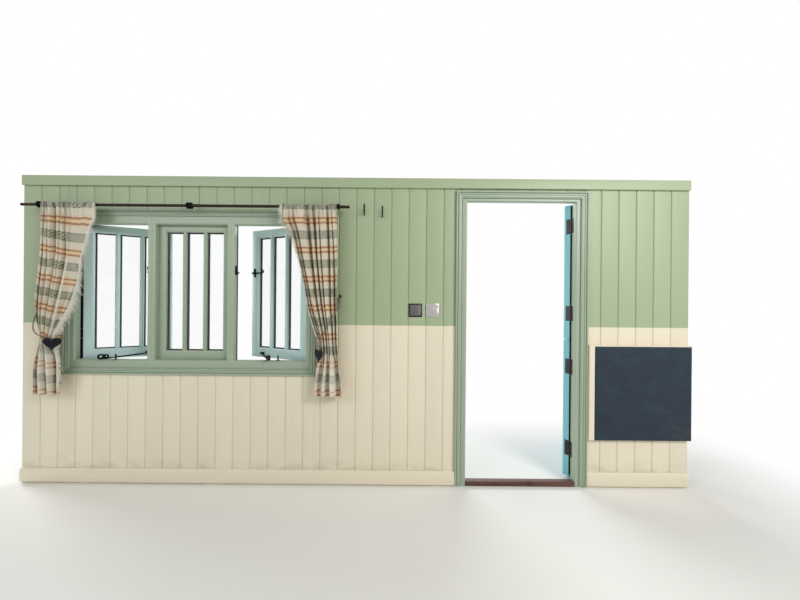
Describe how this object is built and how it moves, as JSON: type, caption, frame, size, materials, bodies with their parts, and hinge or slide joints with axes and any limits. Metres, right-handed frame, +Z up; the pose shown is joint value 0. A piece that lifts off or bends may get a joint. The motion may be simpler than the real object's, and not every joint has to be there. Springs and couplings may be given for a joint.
{
  "type": "shepherds hut side wall with window and stable door",
  "caption": "Timber side wall of a shepherds hut with a three-light casement window, tied-back curtains and an open stable door.",
  "frame": {"origin": "underside of the sole plate, half way along the wall, on the middle plane of the studs", "axes": "+X along the wall to the right seen from the room, +Y outdoors, +Z up"},
  "size_m": [4.256, 0.7087, 1.963],
  "materials": {
    "sage_paint": "sage green eggshell paint on softwood boards, cream below mid height on the room side",
    "outer_sage_paint": "weathered sage green paint on softwood cladding boards",
    "cream_paint": "cream eggshell paint on softwood",
    "joinery_paint": "grey-green satin paint on planed joinery",
    "door_paint": "turquoise satin paint on boards",
    "bare_softwood": "sawn unfinished softwood",
    "hardwood": "oiled dark hardwood",
    "window_glass": "clear polished",
    "black_iron": "black waxed forged iron",
    "hinge_steel": "dull dark grey steel",
    "rust_iron": "rust-brown waxed iron",
    "striped_cotton": "woven cotton with rust and grey-green cross stripes",
    "natural_cord": "twisted natural cord",
    "navy_felt": "dark navy wool felt",
    "black_metal": "black nickel switch plate with pewter edge",
    "chrome": "polished",
    "slate": "honed dark slate"
  },
  "bodies": {
    "root": {"black_switch_plate": "black_metal", "casement_fasteners": "black_iron", "casement_hinges": "hinge_steel", "casement_stays": "black_iron", "chrome_switch_plate": "chrome", "coat_hooks": "black_iron", "cornice_board": "sage_paint", "cross_rails": "bare_softwood", "curtain_pole": "rust_iron", "door_architrave_head": "joinery_paint", "door_architrave_sides": "joinery_paint", "door_head": "joinery_paint", "door_hinge_frame_plates": "hinge_steel", "door_jambs": "joinery_paint", "door_threshold": "hardwood", "end_studs": "bare_softwood", "head_plate": "bare_softwood", "heat_shield": "slate", "heat_shield_spacers": "bare_softwood", "heat_shield_trim": "cream_paint", "inner_boards_left": "sage_paint", "inner_boards_middle": "sage_paint", "inner_boards_over_door": "sage_paint", "inner_boards_over_window": "sage_paint", "inner_boards_right": "sage_paint", "inner_boards_under_window": "sage_paint", "inner_studs": "bare_softwood", "left_casement": "joinery_paint", "left_curtain": "striped_cotton", "middle_light": "joinery_paint", "outer_boards_beside_openings": "outer_sage_paint", "outer_boards_over_openings": "outer_sage_paint", "outer_boards_under_window": "outer_sage_paint", "pole_brackets": "black_iron", "right_casement": "joinery_paint", "right_curtain": "striped_cotton", "skirting": "cream_paint", "sole_plates": "bare_softwood", "tieback_cords": "natural_cord", "tieback_hearts": "navy_felt", "tieback_hooks": "black_iron", "window_architrave_rails": "joinery_paint", "window_architrave_sides": "joinery_paint", "window_glass": "window_glass", "window_head": "joinery_paint", "window_jambs": "joinery_paint", "window_mullions": "joinery_paint", "window_sill": "joinery_paint"},
    "lower_door": {"lower_door_boards": "door_paint", "lower_door_frame": "door_paint", "lower_door_hinge_plates": "hinge_steel", "lower_door_latch": "black_iron"},
    "upper_door": {"upper_door_boards": "door_paint", "upper_door_frame": "door_paint", "upper_door_hinge_plates": "hinge_steel", "upper_door_bolt": "black_iron"}
  },
  "joints": [
    {"name": "lower_door_hinge", "type": "hinge", "parent": "root", "child": "lower_door", "pos_m": [1.4215, 0.0505, 0.47], "axis": [0, 0, -1], "range_deg": [-150, 20]},
    {"name": "upper_door_hinge", "type": "hinge", "parent": "root", "child": "upper_door", "pos_m": [1.4215, 0.0505, 1.38], "axis": [0, 0, -1], "range_deg": [-150, 20]}
  ]
}
